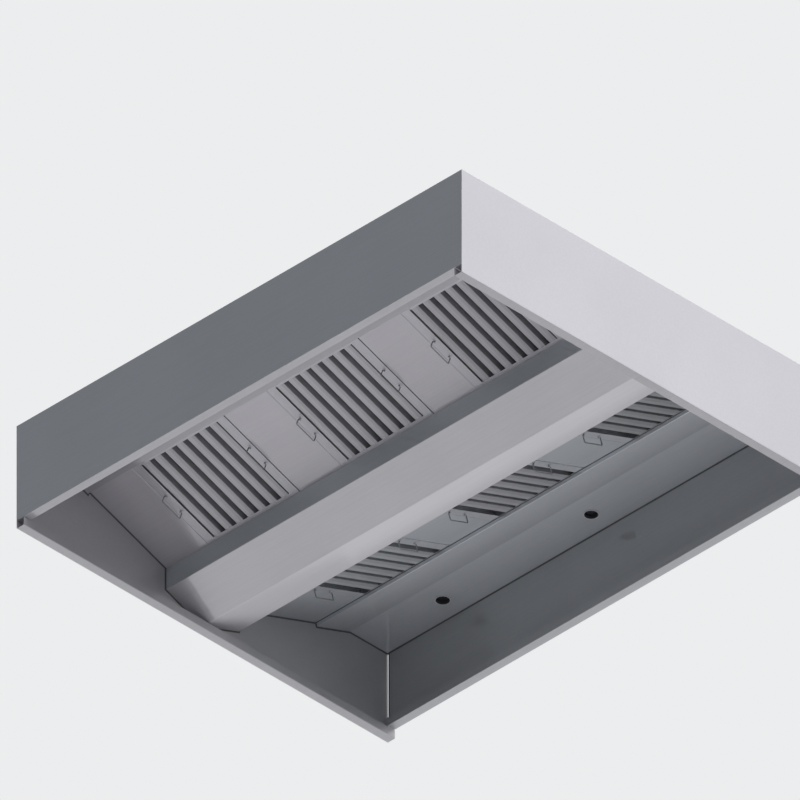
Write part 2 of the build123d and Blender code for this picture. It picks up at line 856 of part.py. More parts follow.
gland_z = roof_top_z + gland_rise
gland_side = junction_y - junction_width / 2
with BuildPart() as junction_box:
    with BuildSketch(Plane.XY.offset(roof_top_z)):
        with Locations((junction_x, junction_y)):
            Rectangle(junction_length, junction_width)
    extrude(amount=junction_height)
    with BuildSketch(Plane.XY.offset(junction_floor_z)):
        with Locations((junction_x, junction_y)):
            Rectangle(junction_length - 2 * sheet, junction_width - 2 * sheet)
    extrude(amount=junction_height, mode=Mode.SUBTRACT)
    with Locations((junction_x, junction_y, roof_top_z)):
        Cylinder(conduit_radius + conduit_gap, cutter, mode=Mode.SUBTRACT)
    with Locations(Plane(origin=(junction_x, gland_side, gland_z), z_dir=(0, 1, 0))):
        Cylinder(gland_thread / 2 + gland_gap, cutter, mode=Mode.SUBTRACT)
save(junction_box, "junction_box")

lid_z = roof_top_z + junction_height
with BuildPart() as junction_box_lid:
    outer_room = 2 * (junction_lid_gap + sheet)
    with BuildSketch(Plane.XY.offset(lid_z - junction_lid_lip)):
        with Locations((junction_x, junction_y)):
            Rectangle(junction_length + outer_room, junction_width + outer_room)
    extrude(amount=junction_lid_lip + sheet)
    with BuildSketch(Plane.XY.offset(lid_z - junction_lid_lip)):
        with Locations((junction_x, junction_y)):
            inner_room = 2 * junction_lid_gap
            Rectangle(junction_length + inner_room, junction_width + inner_room)
    extrude(amount=junction_lid_lip, mode=Mode.SUBTRACT)
save(junction_box_lid, "junction_box_lid")

# The gland points to the front, and its nut is inside the box.
gland_face = Plane(origin=(junction_x, gland_side, gland_z), z_dir=(0, -1, 0))
with BuildPart() as cable_gland:
    with BuildSketch(gland_face):
        RegularPolygon(gland_flat / 2, 6, major_radius=False)
    extrude(amount=gland_flange_thickness)
    with BuildSketch(gland_face.offset(gland_flange_thickness)):
        Circle(gland_flat / 2)
    extrude(amount=gland_cap_length, taper=gland_cap_taper)
    with BuildSketch(gland_face):
        Circle(gland_thread / 2)
    extrude(amount=-gland_inside)
    with BuildSketch(gland_face.offset(-gland_inside)):
        Circle(gland_bore / 2)
    extrude(amount=gland_inside + gland_flange_thickness + gland_cap_length, mode=Mode.SUBTRACT)
    with BuildSketch(gland_face.offset(-sheet)):
        RegularPolygon(gland_flat / 2, 6, major_radius=False)
        Circle(gland_thread / 2 + thread_gap, mode=Mode.SUBTRACT)
    extrude(amount=-gland_nut_thickness)
save(cable_gland, "cable_gland")

# Grease drain through the left end: a bent pipe, and a ball valve that lies along the panel
drain_x = -hood_length / 2 - drain_setoff
drain_z = rim_z + drain_rise
valve_inlet = Plane(
    origin=(drain_x, valve_socket_depth - drain_pipe_run, drain_z),
    x_dir=(1, 0, 0),
    z_dir=(0, -1, 0),
)
valve_outlet = valve_inlet.offset(valve_length)
ball_y = valve_inlet.offset(valve_length / 2).origin.Y
with BuildPart() as drain_pipe:
    with BuildLine(Plane.XY.offset(drain_z)) as pipe_line:
        FilletPolyline(
            (-inner_x, 0),
            (drain_x, 0),
            (drain_x, -drain_pipe_run),
            radius=drain_bend,
        )
    with BuildSketch(Plane(origin=pipe_line.line @ 0, z_dir=pipe_line.line % 0)):
        Circle(drain_pipe_size / 2)
        Circle(drain_bore / 2, mode=Mode.SUBTRACT)
    sweep()
save(drain_pipe, "drain_pipe")

bonnet_top_z = drain_z + bonnet_rise
with BuildPart() as drain_valve_body:
    with BuildSketch(valve_inlet.offset(valve_flat_length)):
        Circle(valve_size / 2)
    extrude(amount=valve_length - 2 * valve_flat_length)
    for hexagon_start in (valve_inlet, valve_outlet.offset(-valve_flat_length)):
        with BuildSketch(hexagon_start):
            RegularPolygon(valve_flat / 2, 6, major_radius=False)
        extrude(amount=valve_flat_length)
    with Locations((drain_x, ball_y, drain_z)):
        Cylinder(
            bonnet_size / 2, bonnet_rise, align=(Align.CENTER, Align.CENTER, Align.MIN)
        )
        Sphere(ball_size / 2 + ball_gap, mode=Mode.SUBTRACT)
        Cylinder(
            stem_size / 2 + stem_gap,
            2 * bonnet_rise,
            align=(Align.CENTER, Align.CENTER, Align.MIN),
            mode=Mode.SUBTRACT,
        )
    with BuildSketch(valve_inlet):
        Circle(drain_bore / 2)
    extrude(amount=valve_length, mode=Mode.SUBTRACT)
    with BuildSketch(valve_inlet):
        Circle(drain_pipe_size / 2 + drain_gap)
    extrude(amount=valve_socket_depth, mode=Mode.SUBTRACT)
    with BuildSketch(valve_outlet):
        Circle(valve_outlet_size / 2)
    extrude(amount=-valve_outlet_depth, mode=Mode.SUBTRACT)
save(drain_valve_body, "drain_valve_body")

valve_lever_z = bonnet_top_z + valve_lever_gap
stem_top_z = valve_lever_z + valve_lever_thickness + valve_nut_height
with BuildPart() as drain_valve_ball:
    with Locations((drain_x, ball_y, drain_z)):
        Sphere(ball_size / 2)
        Cylinder(
            stem_size / 2, stem_top_z - drain_z, align=(Align.CENTER, Align.CENTER, Align.MIN)
        )
    # The bore lies across the flow while the valve is closed.
    with Locations(Plane(origin=(drain_x, ball_y, drain_z), z_dir=(1, 0, 0))):
        Cylinder(drain_bore / 2, 2 * ball_size, mode=Mode.SUBTRACT)
save(drain_valve_ball, "drain_valve_ball")

# The lever has two short wings, so that it turns between the panel and the valve's reach.
with BuildPart() as drain_valve_lever:
    with BuildSketch(Plane.XY.offset(valve_lever_z)):
        with Locations((drain_x, ball_y)):
            SlotOverall(valve_lever_length, valve_lever_width)
            Circle(stem_size / 2 + stem_gap, mode=Mode.SUBTRACT)
    extrude(amount=valve_lever_thickness)
    with BuildSketch(Plane.XY.offset(valve_lever_z + valve_lever_thickness)):
        with Locations((drain_x, ball_y)):
            RegularPolygon(valve_nut_width / 2, 6, major_radius=False)
            Circle(stem_size / 2 + thread_gap, mode=Mode.SUBTRACT)
    extrude(amount=valve_nut_height)
save(drain_valve_lever, "drain_valve_lever")


def filter_frame(plane, turned_over):
    """Filter frame: a channel on four sides, with a lug for each foot of its two bails."""
    window_x = filter_width - 2 * filter_border
    window_y = filter_length - filter_border - filter_end_border
    window_shift = (filter_border - filter_end_border) / 2
    with BuildPart(plane) as frame:
        with BuildSketch(plane):
            Rectangle(filter_width, filter_length)
        extrude(amount=-filter_depth)
        fillet(frame.edges().filter_by(Axis.X), filter_edge)
        with BuildSketch(plane.offset(-filter_sheet)):
            Rectangle(filter_width - 2 * filter_sheet, filter_length - 2 * filter_sheet)
        extrude(amount=-(filter_depth - 2 * filter_sheet), mode=Mode.SUBTRACT)
        with BuildSketch(shifted(plane, 0, window_shift if turned_over else -window_shift)):
            Rectangle(window_x, window_y)
        extrude(amount=-filter_depth, mode=Mode.SUBTRACT)
        with Locations(*[
            (x, -filter_length / 2, -filter_depth / 2)
            for x in spread(filter_weeps, filter_weep_spacing)
        ]):
            Cylinder(filter_weep_radius, cutter, rotation=(90, 0, 0), mode=Mode.SUBTRACT)
        for x in (-1, 1):
            for y in (-1, 1):
                foot = (x * (filter_width / 2 - bail_inset), y * (bail_span / 2 - lug_setback), 0)
                axis = (foot[0], foot[1], bail_axis_height)
                with Locations(foot):
                    Box(
                        2 * lug_radius,
                        lug_thickness,
                        bail_axis_height,
                        align=(Align.CENTER, Align.CENTER, Align.MIN),
                    )
                with Locations(axis):
                    Cylinder(lug_radius, lug_thickness, rotation=(90, 0, 0))
                    Cylinder(
                        bail_wire / 2 + pivot_gap,
                        2 * lug_thickness,
                        rotation=(90, 0, 0),
                        mode=Mode.SUBTRACT,
                    )
    return frame


def filter_baffles(plane, turned_over):
    """Two facing rows of channels: the wider row, and the row behind that covers its gaps."""
    room_side = -filter_sheet - baffle_gap
    far_side = -filter_depth - room_side
    length = filter_length - 2 * (filter_sheet + baffle_gap)
    wide_level, narrow_level = (far_side, room_side) if turned_over else (room_side, far_side)
    with BuildPart() as baffles:
        wide_row = (wide_row_baffles, wide_row_face, wide_level)
        narrow_row = (wide_row_baffles - 1, narrow_row_face, narrow_level)
        for count, face, level in (wide_row, narrow_row):
            fold = baffle_flange if level == far_side else -baffle_flange
            half = face / 2
            points = [(-half, level + fold), (-half, level), (half, level), (half, level + fold)]
            if fold > 0:
                points.reverse()
            section = folded_sheet(points, baffle_sheet, baffle_bend)
            for x in spread(count, baffle_pitch):
                start = shifted(plane, x, -length / 2)
                across = Plane(origin=start.origin, x_dir=start.x_dir, z_dir=start.y_dir * -1)
                with BuildSketch(across):
                    make_face(section)
                extrude(amount=-length)
    return baffles


def bail(plane, x):
    """Wire bail with its feet turned in through two lugs."""
    half = bail_span / 2
    low = bail_axis_height
    high = bail_axis_height + bail_reach
    pivot = shifted(plane, x, 0)
    upright = Plane(origin=pivot.origin, x_dir=pivot.y_dir, z_dir=pivot.x_dir)
    with BuildPart() as wire:
        with BuildLine(upright) as path:
            FilletPolyline(
                (half - bail_tail, low),
                (half, low),
                (half, high),
                (-half, high),
                (-half, low),
                (-half + bail_tail, low),
                radius=bail_bend,
            )
        with BuildSketch(Plane(origin=path.line @ 0, z_dir=path.line % 0)):
            Circle(bail_wire / 2)
        sweep()
    return wire


# Filters: the rear bank's are the same as the front bank's, turned over.
for bank, side in sides.items():
    for number, centre in enumerate(filter_centres, start=1):
        place = bank_plane(side, centre + bay_shift, filter_middle, seat_gap)
        name = f"{bank}_{number}"
        save(filter_frame(place, side > 0), f"filter_frame_{name}")
        save(filter_baffles(place, side > 0), f"filter_baffles_{name}")
        for hand, direction in (("left", -1), ("right", 1)):
            offset_x = direction * -side * (filter_width / 2 - bail_inset)
            save(bail(place, offset_x), f"bail_{name}_{hand}")

print("nodes", len([name for name in os.listdir("parts") if name.endswith(".step")]))
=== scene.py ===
import json
import math
import bmesh
import bpy
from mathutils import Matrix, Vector

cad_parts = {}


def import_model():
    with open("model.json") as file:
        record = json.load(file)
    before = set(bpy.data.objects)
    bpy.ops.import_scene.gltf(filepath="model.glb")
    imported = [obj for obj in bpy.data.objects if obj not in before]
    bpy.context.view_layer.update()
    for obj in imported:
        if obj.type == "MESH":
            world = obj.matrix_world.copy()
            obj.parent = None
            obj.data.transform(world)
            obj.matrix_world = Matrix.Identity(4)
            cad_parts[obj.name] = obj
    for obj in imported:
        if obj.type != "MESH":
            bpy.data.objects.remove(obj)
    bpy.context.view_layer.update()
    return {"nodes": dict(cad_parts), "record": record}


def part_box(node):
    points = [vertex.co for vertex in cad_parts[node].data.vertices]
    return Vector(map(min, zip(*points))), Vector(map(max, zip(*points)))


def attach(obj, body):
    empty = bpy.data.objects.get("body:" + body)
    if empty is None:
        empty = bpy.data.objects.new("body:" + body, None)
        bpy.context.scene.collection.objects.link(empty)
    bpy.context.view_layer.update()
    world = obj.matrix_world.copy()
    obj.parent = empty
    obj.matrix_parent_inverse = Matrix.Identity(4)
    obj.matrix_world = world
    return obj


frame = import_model()
nodes = frame["nodes"]
slot_of = {part["node"]: part["material_slot"] for part in frame["record"]["subparts"]}

# Places read from the frame, in metres. The rim is the lowest edge of the end panels, and the
# top is that of their flanges.
SHEET = 0.0015
low_corner, high_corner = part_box("right_end_panel")
rim = low_corner.z
top = high_corner.z
right_x = high_corner.x
front_y = low_corner.y
inner_x = right_x - SHEET
inner_y = -front_y - SHEET

# Camera: the photograph's view, an isometric one from below, seen from the right of the
# front. Its middle is a point level with the rim, this far from the right end and the front.
PIXELS = 800
PIXEL_SIZE = 3.8123e-3
AIM_FROM_RIGHT = 0.7656
AIM_FROM_FRONT = 0.4329
AIM = Vector((right_x - AIM_FROM_RIGHT, front_y + AIM_FROM_FRONT, rim))
TOWARDS = Vector((-1, 1, 1)).normalized()
CAMERA_DISTANCE = 6.0
NEAREST, FARTHEST = 0.1, 100.0


def camera():
    data = bpy.data.cameras.new("view")
    data.type = "ORTHO"
    data.ortho_scale = PIXELS * PIXEL_SIZE
    data.clip_start, data.clip_end = NEAREST, FARTHEST
    made = bpy.data.objects.new("view", data)
    made.location = AIM - TOWARDS * CAMERA_DISTANCE
    made.rotation_mode = "QUATERNION"
    made.rotation_quaternion = TOWARDS.to_track_quat("-Z", "Y")
    bpy.context.scene.collection.objects.link(made)
    bpy.context.scene.camera = made


# The height of the bumps of every finish, at full strength
BUMP_HEIGHT = 0.0002


class Nodes:
    """Small helper to write node trees as code."""

    def __init__(self, tree):
        self.tree = tree
        tree.nodes.clear()

    def add(self, kind, links=None, **settings):
        node = self.tree.nodes.new(kind)
        for key, value in settings.items():
            setattr(node, key, value)
        for socket, value in (links or {}).items():
            target = node.inputs[socket]
            if isinstance(value, bpy.types.NodeSocket):
                self.tree.links.new(value, target)
            else:
                target.default_value = value
        return node

    def math(self, operation, a, b=0.0, c=0.0):
        return self.add("ShaderNodeMath", {0: a, 1: b, 2: c}, operation=operation).outputs[0]

    def dot(self, vector, direction):
        node = self.add("ShaderNodeVectorMath", {0: vector, 1: direction}, operation="DOT_PRODUCT")
        return node.outputs["Value"]

    def scaled(self, vector, factor):
        node = self.add("ShaderNodeVectorMath", {0: vector, "Scale": factor}, operation="SCALE")
        return node.outputs[0]

    def added(self, a, b):
        return self.add("ShaderNodeVectorMath", {0: a, 1: b}, operation="ADD").outputs[0]

    def axes(self, vector):
        return self.add("ShaderNodeSeparateXYZ", {0: vector}).outputs

    def place(self):
        return self.add("ShaderNodeTexCoord").outputs["Object"]

    def rise_of_normal(self):
        return self.axes(self.add("ShaderNodeNewGeometry").outputs["Normal"])["Z"]

    def noise(self, place, scale, detail, output="Fac"):
        node = self.add("ShaderNodeTexNoise", {"Vector": place, "Scale": scale, "Detail": detail})
        return node.outputs[output]

    def smooth(self, value, low, high, to_low, to_high):
        node = self.add(
            "ShaderNodeMapRange",
            {"Value": value, "From Min": low, "From Max": high, "To Min": to_low, "To Max": to_high},
            interpolation_type="SMOOTHSTEP",
        )
        return node.outputs["Result"]

    def varied(self, noise, spread, middle=1.0, reach=0.2):
        """A middle value that a noise moves up and down by a share of itself."""
        return self.smooth(noise, 0.5 - reach, 0.5 + reach, (1 - spread) * middle, (1 + spread) * middle)

    def bump(self, height, strength):
        node = self.add("ShaderNodeBump", {"Height": height, "Strength": strength, "Distance": BUMP_HEIGHT})
        return node.outputs[0]

    def sees_backdrop(self):
        """1 for the rays that show the backdrop: the camera's, and those that metal and glass send."""
        path = self.add("ShaderNodeLightPath").outputs
        seen = self.math("MAXIMUM", path["Is Camera Ray"], path["Is Glossy Ray"])
        return self.math("MAXIMUM", seen, path["Is Transmission Ray"])

    def surface(self, shader, output="ShaderNodeOutputMaterial"):
        self.add(output, {"Surface": shader.outputs[0]})


def material(name):
    made = bpy.data.materials.new(name)
    made.use_nodes = True
    return made, Nodes(made.node_tree)


# World light: soft lobes of the studio, each with the way it lies and its strength
LOBE_SHARPNESS = 4.0
LOBES = (
    ((-1, 0, -1), 0.313),
    ((-1, 1, -1), 1.27),
    ((-1, 1, 0), 0.123),
    ((0, 0, -1), 0.25),
    ((0, 0, 1), 0.537),
    ((0, 1, 0), 0.366),
    ((1, -1, -1), 0.114),
    ((1, 0, 1), 1.407),
    ((1, 1, 0), 0.24),
    ((1, 1, 1), 1.992),
)
WHITE = (1.0, 1.0, 1.0, 1.0)
BACKDROP = (0.839, 0.847, 0.855, 1.0)


def world():
    made = bpy.data.worlds.new("studio")
    bpy.context.scene.world = made
    made.use_nodes = True
    n = Nodes(made.node_tree)
    direction = n.add("ShaderNodeTexCoord").outputs["Generated"]
    level = 0.0
    for towards, strength in LOBES:
        facing = n.math("MAXIMUM", n.dot(direction, Vector(towards).normalized()), 0.0)
        lobe = n.math("POWER", facing, LOBE_SHARPNESS)
        level = n.math("MULTIPLY_ADD", lobe, strength, level)
    studio = n.add("ShaderNodeBackground", {"Color": WHITE, "Strength": level})
    pale = n.add("ShaderNodeBackground", {"Color": BACKDROP, "Strength": 1.0})
    mixed = n.add("ShaderNodeMixShader", {0: n.sees_backdrop(), 1: studio.outputs[0], 2: pale.outputs[0]})
    n.surface(mixed, "ShaderNodeOutputWorld")


# Floor: it shows, with the hood's shadow, where the backdrop does, and lets all other light pass
FLOOR_HALF = 40.0
FLOOR_Z = -5.2
FLOOR_PAINT = (0.86, 0.87, 0.88, 1.0)


def floor():
    mesh = bpy.data.meshes.new("floor")
    square = ((-1, -1), (1, -1), (1, 1), (-1, 1))
    corners = [(x * FLOOR_HALF, y * FLOOR_HALF, FLOOR_Z) for x, y in square]
    mesh.from_pydata(corners, [], [(0, 1, 2, 3)])
    made = bpy.data.objects.new("floor", mesh)
    bpy.context.scene.collection.objects.link(made)
    finish, n = material("floor")
    paint = n.add("ShaderNodeBsdfDiffuse", {"Color": FLOOR_PAINT})
    clear = n.add("ShaderNodeBsdfTransparent")
    mixed = n.add("ShaderNodeMixShader", {0: n.sees_backdrop(), 1: clear.outputs[0], 2: paint.outputs[0]})
    n.surface(mixed)
    mesh.materials.append(finish)


# Steel sheet: its colour, and how sharp and how strong its reflection is inside and outside
STEEL = Vector((0.62, 0.63, 0.65))
STEEL_MIRROR = 0.2
STEEL_ROUGHNESS = 0.1
OUTSIDE_MIRROR = 0.1
OUTSIDE_ROUGHNESS = 0.3
EDGE_TINT = (0.6, 0.6, 0.6, 1.0)
ROUGHNESS_SPREAD = 0.2

# Its grain: noise scales across and along the grinding marks, clouds between them, and how
# far each moves the tone
FINE_GRAIN = (900.0, 8.0)
COARSE_GRAIN = (120.0, 2.0)
GRAIN_DETAIL = 3.0
CLOUD_SCALE = 2.2
CLOUD_DETAIL = 2.0
FINE_SPREAD = 0.03
FINE_REACH = 0.25
COARSE_SPREAD = 0.015
CLOUD_SPREAD = 0.015
GRAIN_BUMP = 0.04

# Painted light and shade: the tone of each sheet against plain steel, by node or by kind of node,
# lighter or darker as the sheet is lit. Some have a second painted tone on the outside of a wall, or on the
# faces that stand upright or slope.
PAINTED_LIGHT_AND_SHADE = {
    "front_skirt_panel": ((1.03, 1.005, 1.04), "outside", (0.97, 1.01, 1.075)),
    "right_end_panel": ((1.03, 1.00, 1.03), "outside", (1.10, 1.07, 1.11)),
    "rear_skirt_panel": ((1.01, 1.00, 1.02), "upright", (0.80, 0.81, 0.81)),
    "left_end_panel": ((1.01, 0.99, 1.01), "upright", (0.92, 0.905, 0.91)),
    "grease_trough": ((1.26, 1.22, 1.25), "upright", (1.02, 1.08, 1.09)),
    "rear_ceiling_panel": ((1.15, 1.17, 1.21), "sloping", (1.06, 1.08, 1.12)),
    "front_ceiling_panel": ((0.94, 0.91, 0.94),),
    "front_filler_plates": ((1.14, 1.09, 1.13),),
    "rear_filler_plates": ((0.92, 0.945, 0.985),),
    "filter_frame_front": ((1.09, 1.06, 1.10),),
    "filter_frame_rear": ((0.92, 0.93, 0.97), "upright", (1.58, 1.58, 1.58)),
    "filter_baffles_front": ((0.98, 0.95, 0.98),),
    "filter_baffles_front_3": ((0.87, 0.84, 0.87),),
    "filter_baffles_rear": ((0.78, 0.77, 0.80),),
    "filter_baffles_rear_1": ((0.85, 0.86, 0.88),),
    "filter_baffles_rear_3": ((0.67, 0.67, 0.68),),
}
WALLS = ("front_skirt_panel", "rear_skirt_panel", "left_end_panel", "right_end_panel")

# A face stands upright, or slopes, when its normal rises or falls by less than this
RISE_LIMITS = {"upright": 0.3, "sloping": 0.97}

# Painted light and shade on the baffles: the pitch of the row that faces the room and, in shares of it,
# where the faces lie, how far from a face's middle it turns darker, and where the painted edge shade starts
BAFFLE_PITCH = 0.060
BAFFLE_SHADE_PLACES = {"filter_baffles_front": (0.0, 0.04, 0.28), "filter_baffles_rear": (0.5, -0.03, 0.33)}
TURN_REACH = 0.07
TURN_LIGHT_AND_SHADE = (1.06, 0.89)
EDGE_BEFORE, EDGE_AFTER = 0.02, 0.03
EDGE_SHADE = 0.35


def outside_of_shell(n, place):
    """1 on the faces that the canopy turns to the room, 0 on its inside."""
    axes = n.axes(place)
    past_end = n.math("GREATER_THAN", n.math("ABSOLUTE", axes["X"]), right_x - SHEET / 2)
    past_side = n.math("GREATER_THAN", n.math("ABSOLUTE", axes["Y"]), -front_y - SHEET / 2)
    return n.math("MAXIMUM", past_end, past_side)


def steeper_than(n, limit):
    """1 on the faces whose normal rises or falls by less than a limit, 0 on the flatter ones."""
    return n.math("LESS_THAN", n.math("ABSOLUTE", n.rise_of_normal()), limit)


def grain_of(n, place, axis, scales):
    """Noise drawn out along one axis, like the marks of a grinding belt."""
    across, along = scales
    stretch = [along if name == axis else across for name in "XYZ"]
    drawn = n.add("ShaderNodeMapping", {"Vector": place, "Scale": stretch}).outputs[0]
    return n.noise(drawn, 1.0, GRAIN_DETAIL)


def painted_baffle_shade(n, place, centre, shade_places):
    """Painted light and shade of a row of baffles: lighter on the left of each face, darker right of its
    turn, and painted shade near the edges of its flat faces.
    """
    start, turn, edge = shade_places
    shifted = 0.5 - start - centre / BAFFLE_PITCH
    across = n.math("FRACT", n.math("MULTIPLY_ADD", n.axes(place)["X"], 1 / BAFFLE_PITCH, shifted))
    from_middle = n.math("SUBTRACT", across, 0.5)
    painted_turn_shade = n.smooth(from_middle, turn - TURN_REACH, turn + TURN_REACH, *TURN_LIGHT_AND_SHADE)
    off_middle = n.math("ABSOLUTE", from_middle)
    # Painted shade near the edges of the flat faces, where the gaps between the baffles lie
    edges = n.smooth(off_middle, edge - EDGE_BEFORE, edge + EDGE_AFTER, 0.0, EDGE_SHADE)
    flat = n.math("SUBTRACT", 1.0, steeper_than(n, RISE_LIMITS["upright"]))
    return n.math("MULTIPLY", painted_turn_shade, n.math("SUBTRACT", 1.0, n.math("MULTIPLY", edges, flat)))


def steel(name, colour, grain, painted_tones=None, shell=False, row=None):
    """Satin stainless sheet: mostly dull, with a weak sharp reflection and a fine grain.

    A shell's outside reflects less sharply than its inside. Painted tones lighten or darken
    the sheet as light and shade would, and a row of baffles gives its middle and the places of its painted
    shade.
    """
    made, n = material(name)
    place = n.place()
    fine = grain_of(n, place, grain, FINE_GRAIN)
    coarse = grain_of(n, place, grain, COARSE_GRAIN)
    clouds = n.noise(place, CLOUD_SCALE, CLOUD_DETAIL)
    shade = n.varied(clouds, CLOUD_SPREAD)
    shade = n.math("MULTIPLY", shade, n.varied(coarse, COARSE_SPREAD))
    shade = n.math("MULTIPLY", shade, n.varied(fine, FINE_SPREAD, reach=FINE_REACH))
    if row:
        shade = n.math("MULTIPLY", shade, painted_baffle_shade(n, place, *row))
    # Painted light and shade: the sheet's tone, and its second tone on the outside or on upright or sloping
    # faces
    base = colour
    if painted_tones:
        base = colour * Vector(painted_tones[0])
    if painted_tones and len(painted_tones) > 1:
        where, painted_second_tone = painted_tones[1:]
        limit = RISE_LIMITS.get(where)
        share = steeper_than(n, limit) if limit else outside_of_shell(n, place)
        base = n.added(base, n.scaled(colour * Vector(painted_second_tone) - base, share))
    roughness = n.varied(fine, ROUGHNESS_SPREAD, STEEL_ROUGHNESS, FINE_REACH)
    mirror = STEEL_MIRROR
    if shell:
        outside = outside_of_shell(n, place)
        roughness = n.math("MULTIPLY_ADD", outside, OUTSIDE_ROUGHNESS - STEEL_ROUGHNESS, roughness)
        mirror = n.math("MULTIPLY_ADD", outside, OUTSIDE_MIRROR - STEEL_MIRROR, STEEL_MIRROR)
    look = {
        "Base Color": n.scaled(base, shade),
        "Metallic": mirror,
        "Roughness": roughness,
        "Normal": n.bump(fine, GRAIN_BUMP),
        "Specular IOR Level": 0.0,
        "Specular Tint": EDGE_TINT,
    }
    n.surface(n.add("ShaderNodeBsdfPrincipled", look))
    return made


# Lamp bezel: a fine grain, a dark bore, and a steel rim on the faces that look down
BEZEL_GRAINS = 400.0
BEZEL_SPREAD = 0.05
BEZEL_LOOK = {"Roughness": 0.4, "Specular IOR Level": 0.2}
LOOKS_DOWN = -0.5


def bezel(name, rim_colour, bore_colour):
    made, n = material(name)
    grains = n.noise(n.place(), BEZEL_GRAINS, GRAIN_DETAIL)
    down = n.math("LESS_THAN", n.rise_of_normal(), LOOKS_DOWN)
    base = n.added(bore_colour, n.scaled(rim_colour - bore_colour, down))
    tone = n.scaled(base, n.varied(grains, BEZEL_SPREAD))
    n.surface(n.add("ShaderNodeBsdfPrincipled", {"Base Color": tone, **BEZEL_LOOK}))
    return made


# Cast, moulded, plated and painted finishes: clouds are this many times as large as grains
CLOUDS_PER_GRAIN = 20
SHEEN_SPREAD = 0.15


def coarse_finish(name, colour, roughness, metallic=0.0, spread=0.06, grain_scale=300.0, bumps=0.15):
    """Small grains of tone and height, in clouds of tone and sheen."""
    made, n = material(name)
    place = n.place()
    grains = n.noise(place, grain_scale, GRAIN_DETAIL)
    clouds = n.noise(place, grain_scale / CLOUDS_PER_GRAIN, CLOUD_DETAIL)
    shade = n.math("MULTIPLY", n.varied(grains, spread), n.varied(clouds, spread))
    look = {
        "Base Color": n.scaled(colour, shade),
        "Metallic": metallic,
        "Roughness": n.varied(clouds, SHEEN_SPREAD, roughness),
        "Normal": n.bump(grains, bumps),
    }
    n.surface(n.add("ShaderNodeBsdfPrincipled", look))
    return made


# Hot-dipped zinc: crystals about a centimetre across, with bent edges, each with its own
# tone and sheen
CRYSTAL_SCALE = 95.0
BEND_SCALE = 40.0
BEND_REACH = 0.012
CRYSTAL_TONES = (0.82, 1.12)
CRYSTAL_ROUGHNESS = (0.35, 0.6)
GALVANISED_METALLIC = 0.6


def galvanised(name, colour):
    made, n = material(name)
    place = n.place()
    bent = n.noise(place, BEND_SCALE, CLOUD_DETAIL, "Color")
    spot = n.added(place, n.scaled(bent, BEND_REACH))
    cells = n.add("ShaderNodeTexVoronoi", {"Vector": spot, "Scale": CRYSTAL_SCALE})
    crystals = n.axes(cells.outputs["Color"])
    look = {
        "Base Color": n.scaled(colour, n.smooth(crystals["X"], 0.0, 1.0, *CRYSTAL_TONES)),
        "Metallic": GALVANISED_METALLIC,
        "Roughness": n.smooth(crystals["Y"], 0.0, 1.0, *CRYSTAL_ROUGHNESS),
    }
    n.surface(n.add("ShaderNodeBsdfPrincipled", look))
    return made


# One finish for each material slot of the record, and the sealant's own, whose dark grey also paints the
# shade of the inside corners
finishes = {
    "canopy_steel": steel("sheet", STEEL, "X"),
    "filter_steel": steel("filter", STEEL, "Y"),
    # Painted shade: the wire's colour is darker than the sheet's, which darkens the bails as shade would
    "bail_wire": steel("wire", STEEL * 0.62, "Z"),
    "galvanised_steel": galvanised("galvanised", (0.55, 0.57, 0.59)),
    "zinc_fasteners": coarse_finish("zinc", (0.60, 0.61, 0.60), 0.32, 0.8),
    "rivet_aluminium": coarse_finish("aluminium", (0.66, 0.67, 0.68), 0.38, 0.7),
    "gasket_rubber": coarse_finish("rubber", (0.035, 0.035, 0.036), 0.75),
    "bush_plastic": coarse_finish("nylon", (0.78, 0.77, 0.72), 0.5, spread=0.02),
    "gland_plastic": coarse_finish("gland", (0.05, 0.052, 0.055), 0.45),
    "bezel_dark": bezel("bezel", STEEL * 1.1, Vector((0.10, 0.10, 0.11))),
    "lens_glass": coarse_finish("glass", (0.028, 0.030, 0.036), 0.12, spread=0.02, bumps=0.0),
    "lamp_board": coarse_finish("board", (0.78, 0.75, 0.55), 0.4, spread=0.02),
    "valve_brass": coarse_finish("brass", (0.66, 0.50, 0.25), 0.35, 0.8, spread=0.04),
    "lever_paint": coarse_finish("paint", (0.45, 0.04, 0.035), 0.4, spread=0.03),
}
# Dark grey sealant: partly the real bead, partly painted shade along the inside corners and the lips
sealant_and_shade = coarse_finish("sealant_and_shade", (0.12, 0.122, 0.126), 0.7, grain_scale=200.0)


def middle_x(node):
    xs = [vertex.co.x for vertex in node.data.vertices]
    return (min(xs) + max(xs)) / 2


def finish_of(name, node):
    """The finish of a node: its own sheet where it has painted light and shade, or else its slot's."""
    kind = name.rstrip("_123")
    painted_tones = PAINTED_LIGHT_AND_SHADE.get(name) or PAINTED_LIGHT_AND_SHADE.get(kind)
    if not painted_tones:
        return finishes[slot_of[name]]
    grain = "Y" if kind.startswith("filter") else "X"
    row = (middle_x(node), BAFFLE_SHADE_PLACES[kind]) if kind in BAFFLE_SHADE_PLACES else None
    return steel(f"sheet_{name}", STEEL, grain, painted_tones, kind in WALLS, row)


def dress_nodes():
    for name, node in nodes.items():
        finish = finish_of(name, node)
        node.data.materials.clear()
        node.data.materials.append(finish)


